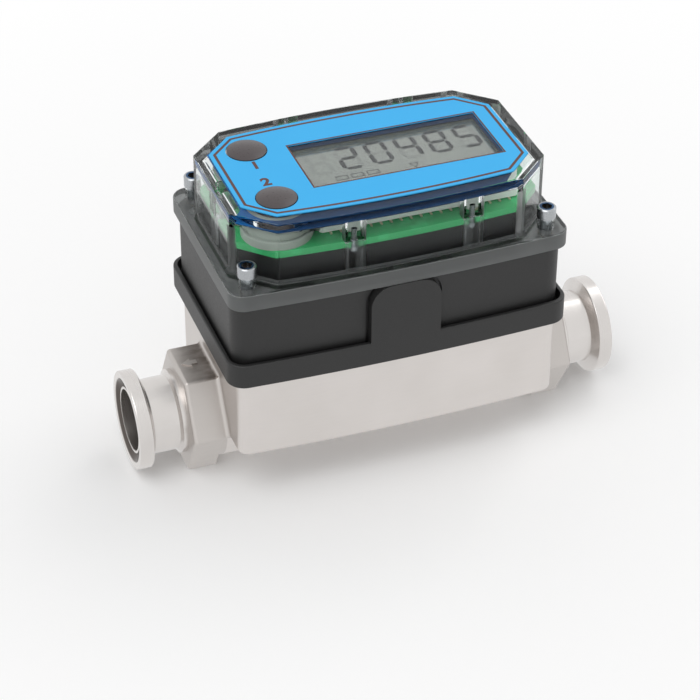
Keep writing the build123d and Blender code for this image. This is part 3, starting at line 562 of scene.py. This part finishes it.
# Window opening, wider all round by grow
def windowLoop(grow=0.0):
    return rectangle(face["windowX"], face["windowY"], face["windowLength"] + 2 * grow,
                     face["windowWidth"] + 2 * grow)


# Holes for the two buttons
def buttonLoops(radius):
    return [circle(face["buttonX"], side * face["buttonY"], radius) for side in (-1, 1)]


# Border and window line in thin ink
def makePrint():
    top = plateTop()
    size = (face["length"], face["width"], face["cutX"], face["cutY"], face["bow"])
    inset = face["borderInset"]
    border = [cutOctagon(*size, inset), cutOctagon(*size, inset + face["borderWidth"])]
    window = [windowLoop(face["windowLine"]), windowLoop()]
    mesh = filledMesh("facePrint", border + window, top, top + face["inkHeight"])
    addPiece("facePrint", mesh, "brownPrint")


# Plain numeral beside a button
def makeNumeral(text, y):
    curve = bpy.data.curves.new("numeralText", "FONT")
    curve.body = text
    curve.size = face["numeralFont"] * mm
    curve.align_x = "CENTER"
    curve.align_y = "CENTER"
    curve.extrude = face["inkHeight"] / 2 * mm
    curve.offset = face["numeralBold"] * mm
    name = "faceNumeral" + text
    mesh = curveToMesh(curve, name, face["numeralX"], y, plateTop() + face["inkHeight"] / 2)
    addPiece(name, mesh, "brownPrint")


# Blue glue layer that holds the faceplate on the cover
def makeUnderprint():
    plate = cutOctagon(face["length"], face["width"], face["cutX"], face["cutY"], face["bow"])
    loops = [plate, windowLoop()] + buttonLoops(face["buttonHole"])
    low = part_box("faceplate")[0].z / mm
    mesh = filledMesh("faceUnderprint", loops, low - face["glueDepth"], low - face["glueGap"])
    addPiece("faceUnderprint", mesh, "navyUnderprint")


mask = {
    "cavityLength": 75.5, "cavityWidth": 40.8, "cutX": 7.75, "cutY": 7.25, "bow": 1.3,
    "leftEnd": -36.4, "leftStep": 1.6, "rightEnd": 36.0, "rearEnd": 14.8,
    "frontCutX": 28.0, "frontCutY": -10.5, "buttonHole": 7.6,
    "underside": 74.85, "sink": 0.05, "proud": 0.03,
}


# Mask outline: the cavity's, short of its ends, but out to the chamfer at the front of the outlet end
def maskOutline():
    x, y = mask["cavityLength"] / 2, mask["cavityWidth"] / 2
    rear = arcPoints(x - mask["cutX"], y, mask["bow"])
    front = [(-px, -py) for px, py in rear if -px < mask["frontCutX"]]
    right = [(mask["rightEnd"], mask["rearEnd"]), (mask["rightEnd"], mask["frontCutY"])]
    corner = mask["cutY"] - y
    left = [(-x, corner), (mask["leftEnd"], corner + mask["leftStep"]), (mask["leftEnd"], mask["rearEnd"])]
    return rear + right + front + left


# Masking print on the underside of the cover's top, round the window and the two keypads
def makeMask():
    loops = [maskOutline(), windowLoop()] + buttonLoops(mask["buttonHole"])
    mesh = filledMesh("coverMask", loops, mask["underside"] - mask["proud"], mask["underside"] + mask["sink"])
    addPiece("coverMask", mesh, "navyMaskingPrint")


makePrint()
makeMask()
makeNumeral("1", face["numeralY"])
makeNumeral("2", -face["numeralY"])
makeUnderprint()
say("faceplate print")


# Display

display = {
    "digits": "20485", "places": 6, "left": -14.8, "pitch": 7.75, "width": 5.6, "bottom": -2.5,
    "height": 10.4, "stroke": 1.15, "gap": 0.2, "thick": 0.02,
    "boxLeft": -10.4, "boxTop": -4.4, "boxPitch": 4.0, "boxCount": 3, "boxWidth": 3.2, "boxHeight": 1.9,
    "boxStroke": 0.3, "triangleX": 9.8, "triangleTop": -4.6, "triangleWidth": 2.8, "triangleHeight": 2.24,
    "triangleStroke": 0.5,
}
# Segments a to f run clockwise from the top bar, and g is the middle one
litSegments = {
    "0": "abcdef", "1": "bc", "2": "abged", "3": "abgcd", "4": "fgbc", "5": "afgcd", "6": "afgedc",
    "7": "abc", "8": "abcdefg", "9": "abcdfg",
}


# Bar with pointed ends between two points on a horizontal or upright line
def segmentBar(x0, y0, x1, y1):
    half, gap = display["stroke"] / 2, display["gap"]
    flat = abs(y1 - y0) < abs(x1 - x0)
    start, end, middle = (x0 + gap, x1 - gap, y0) if flat else (y0 + gap, y1 - gap, x0)
    side = -half if flat else half
    line = [(start, middle), (start + half, middle + side), (end - half, middle + side),
            (end, middle), (end - half, middle - side), (start + half, middle - side)]
    return line if flat else [(y, x) for x, y in line]


# Outlines of the named segments of one digit
def digitBars(names, left=0.0):
    half = display["stroke"] / 2
    x0, x1 = left + half, left + display["width"] - half
    y0 = display["bottom"] + half
    y2 = display["bottom"] + display["height"] - half
    y1 = (y0 + y2) / 2
    ends = {
        "a": (x0, y2, x1, y2), "b": (x1, y1, x1, y2), "c": (x1, y0, x1, y1), "d": (x0, y0, x1, y0),
        "e": (x0, y0, x0, y1), "f": (x0, y1, x0, y2), "g": (x0, y1, x1, y1),
    }
    return [segmentBar(*ends[name]) for name in names]


# Copies of a unit mesh along X, made by a node group and turned into one mesh
def repeatAlongX(name, unit, count, pitch, finish):
    group = bpy.data.node_groups.new(name + "Row", "GeometryNodeTree")
    for socketName, kind in (("Unit", "NodeSocketObject"), ("Copies", "NodeSocketInt"),
                             ("Pitch", "NodeSocketFloat"), ("Finish", "NodeSocketMaterial")):
        group.interface.new_socket(socketName, in_out="INPUT", socket_type=kind)
    group.interface.new_socket("Geometry", in_out="OUTPUT", socket_type="NodeSocketGeometry")
    given = addNode(group, "NodeGroupInput", out=None).outputs
    step = addNode(group, "ShaderNodeCombineXYZ", [given["Pitch"]])
    line = addNode(group, "GeometryNodeMeshLine", {"Count": given["Copies"], "Offset": step}, mode="OFFSET")
    copied = addNode(group, "GeometryNodeObjectInfo", {"Object": given["Unit"]}, out="Geometry")
    spread = addNode(group, "GeometryNodeInstanceOnPoints", {"Points": line, "Instance": copied})
    real = addNode(group, "GeometryNodeRealizeInstances", {"Geometry": spread})
    painted = addNode(group, "GeometryNodeSetMaterial", {"Geometry": real, "Material": given["Finish"]})
    addNode(group, "NodeGroupOutput", {"Geometry": painted}, out=None)
    source = bpy.data.objects.new(name + "Unit", unit)
    holder = bpy.data.objects.new(name + "Holder", bpy.data.meshes.new(name + "Empty"))
    for part in (source, holder):
        bpy.context.scene.collection.objects.link(part)
    modifier = holder.modifiers.new("Row", "NODES")
    modifier.node_group = group
    values = {"Unit": source, "Copies": count, "Pitch": pitch * mm, "Finish": materials[finish]}
    for item in group.interface.items_tree:
        if item.in_out == "INPUT":
            modifier[item.identifier] = values[item.name]
    bpy.context.view_layer.update()
    mesh = bpy.data.meshes.new_from_object(holder.evaluated_get(bpy.context.evaluated_depsgraph_get()))
    mesh.name = name
    for part in (source, holder):
        bpy.data.objects.remove(part)
    return mesh


# Unlit digits in every place, and lit digits over them to the right
def makeDigits(low, high):
    unit = filledMesh("displayUnlit", digitBars("abcdefg", display["left"]), low, high)
    mesh = repeatAlongX("displayUnlit", unit, display["places"], display["pitch"], "displaySegmentOff")
    addPiece("displayUnlit", mesh, "displaySegmentOff")
    loops = []
    first = display["places"] - len(display["digits"])
    for index, digit in enumerate(display["digits"]):
        loops += digitBars(litSegments[digit], display["left"] + (first + index) * display["pitch"])
    mesh = filledMesh("displayLit", loops, high, high + display["thick"])
    addPiece("displayLit", mesh, "displaySegmentOn")


# Row of small box outlines and one triangle outline below the digits
def makeMarks(low, high):
    width, tall, stroke = display["boxWidth"], display["boxHeight"], display["boxStroke"]
    x, y = display["boxLeft"] + width / 2, display["boxTop"] - tall / 2
    loops = [rectangle(x, y, width, tall), rectangle(x, y, width - 2 * stroke, tall - 2 * stroke)]
    unit = filledMesh("displayBox", loops, low, high)
    mesh = repeatAlongX("displayBoxes", unit, display["boxCount"], display["boxPitch"], "displaySegmentOn")
    addPiece("displayBoxes", mesh, "displaySegmentOn")
    x, y, half = display["triangleX"], display["triangleTop"], display["triangleWidth"] / 2
    tip, line = y - display["triangleHeight"], display["triangleStroke"]
    outer = [(x - half, y), (x, tip), (x + half, y)]
    inner = [(x - half + line, y - stroke), (x, tip + line), (x + half - line, y - stroke)]
    mesh = filledMesh("displayTriangle", [outer, inner], low, high)
    addPiece("displayTriangle", mesh, "displaySegmentOn")


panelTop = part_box("display_glass")[1].z / mm
makeDigits(panelTop, panelTop + display["thick"])
makeMarks(panelTop, panelTop + display["thick"])
say("display segments")


# Floor, light and camera

studio = {
    "floor": "#FFFFFF", "floorDrift": "#FCFCFC", "floorCloud": 0.004, "floorRough": 0.9, "floorSize": 6.0,
    "floorWhite": (0.0, 1.0), "floorWhiteReach": (60, 250), "floorGloss": 0.7,
    "low": "#B4B4B4", "high": "#D8D8D8", "white": "#FFFFFF", "aim": (0, 0, 0.04),
    "key": {"place": (-0.7, -0.5, 1.5), "size": 1.2, "watts": 9},
    "rear": {"place": (1.15, 0.45, 1.1), "size": 1.2, "watts": 6},
}
camera = {
    "azimuth": 20.36, "elevation": 35.697, "roll": 0.384, "place": (-0.17808, -0.46776, 0.37929),
    "focal": 2409.24, "frame": 700, "sensor": 36.0, "nearest": 0.01,
}


# One for camera, glossy and transmission rays, which show the background
def seenRays(tree):
    rays = addNode(tree, "ShaderNodeLightPath", out=None).outputs
    seen = rays["Is Camera Ray"]
    for kind in ("Is Glossy Ray", "Is Transmission Ray"):
        seen = addNode(tree, "ShaderNodeMath", (seen, rays[kind]), operation="MAXIMUM")
    return seen


# Pale floor that keeps the shadow; it fades to white away from the meter, and metal mirrors it as pale
def makeFloor():
    half = studio["floorSize"] / 2
    mesh = bpy.data.meshes.new("floor")
    corners = [(-half, -half, 0), (half, -half, 0), (half, half, 0), (-half, half, 0)]
    mesh.from_pydata(corners, [], [(0, 1, 2, 3)])
    material, tree, shader = newMaterial("paleBackdropPaper", Roughness=studio["floorRough"])
    cloud = mottle(tree, studio["floorCloud"])
    paper = addNode(tree, "ShaderNodeMix", {0: cloud, 6: studio["floor"], 7: studio["floorDrift"]}, 2,
                    data_type="RGBA")
    setInputs(tree, shader, {"Base Color": paper})
    away = addNode(tree, "ShaderNodeVectorMath", [objectPoint(tree)], out="Value", operation="LENGTH")
    white = addNode(tree, "ShaderNodeMapRange", (away, *studio["floorWhiteReach"], *studio["floorWhite"]))
    share = addNode(tree, "ShaderNodeMath", (seenRays(tree), white), operation="MULTIPLY")
    glossy = addNode(tree, "ShaderNodeLightPath", out="Is Glossy Ray")
    shine = addNode(tree, "ShaderNodeMath", (glossy, studio["floorGloss"]), operation="MULTIPLY")
    share = addNode(tree, "ShaderNodeMath", (share, shine), operation="MAXIMUM")
    glow = addNode(tree, "ShaderNodeEmission", {"Color": studio["white"], "Strength": 1.0})
    both = addNode(tree, "ShaderNodeMixShader", (share, shader.outputs[0], glow))
    setInputs(tree, tree.nodes["Material Output"], {"Surface": both})
    mesh.materials.append(material)
    floor = bpy.data.objects.new("floor", mesh)
    bpy.context.scene.collection.objects.link(floor)


# Soft surround, brighter overhead, white to the camera
def makeSky():
    world = bpy.data.worlds.new("studio")
    bpy.context.scene.world = world
    world.use_nodes = True
    tree = world.node_tree
    around = addNode(tree, "ShaderNodeTexCoord", out="Generated")
    height = addNode(tree, "ShaderNodeSeparateXYZ", [around], out="Z")
    share = addNode(tree, "ShaderNodeMapRange", (height, 0, 1, 0, 1))
    soft = addNode(tree, "ShaderNodeMix", {0: share, 6: studio["low"], 7: studio["high"]}, 2,
                   data_type="RGBA")
    sky = addNode(tree, "ShaderNodeMix", {0: seenRays(tree), 6: soft, 7: studio["white"]}, 2,
                  data_type="RGBA")
    setInputs(tree, tree.nodes["Background"], {"Color": sky})


# Square soft box aimed at the meter's middle
def makeLight(name, look):
    data = bpy.data.lights.new(name, "AREA")
    data.shape = "SQUARE"
    data.size = look["size"]
    data.energy = look["watts"]
    light = bpy.data.objects.new(name, data)
    light.location = look["place"]
    aim = Vector(studio["aim"]) - light.location
    light.rotation_euler = aim.to_track_quat("-Z", "Y").to_euler()
    bpy.context.scene.collection.objects.link(light)


# Camera at the photograph's place, direction and lens
def makeCamera():
    azimuth, elevation = math.radians(camera["azimuth"]), math.radians(camera["elevation"])
    flat = math.cos(elevation)
    ahead = Vector((math.sin(azimuth) * flat, math.cos(azimuth) * flat, -math.sin(elevation)))
    right = ahead.cross(Vector((0, 0, 1))).normalized()
    up = right.cross(ahead)
    roll = math.radians(camera["roll"])
    side = right * math.cos(roll) + up * math.sin(roll)
    top = up * math.cos(roll) - right * math.sin(roll)
    data = bpy.data.cameras.new("photoCamera")
    data.sensor_width = camera["sensor"]
    data.lens = camera["focal"] / camera["frame"] * camera["sensor"]
    data.clip_start = camera["nearest"]
    eye = bpy.data.objects.new("photoCamera", data)
    turn = Matrix((side, top, -ahead)).transposed()
    eye.matrix_world = Matrix.Translation(camera["place"]) @ turn.to_4x4()
    bpy.context.scene.collection.objects.link(eye)
    bpy.context.scene.camera = eye


makeFloor()
makeSky()
makeLight("keyLight", studio["key"])
makeLight("rearLight", studio["rear"])
makeCamera()
bpy.context.scene.view_settings.view_transform = "Standard"
say("floor, light and camera")
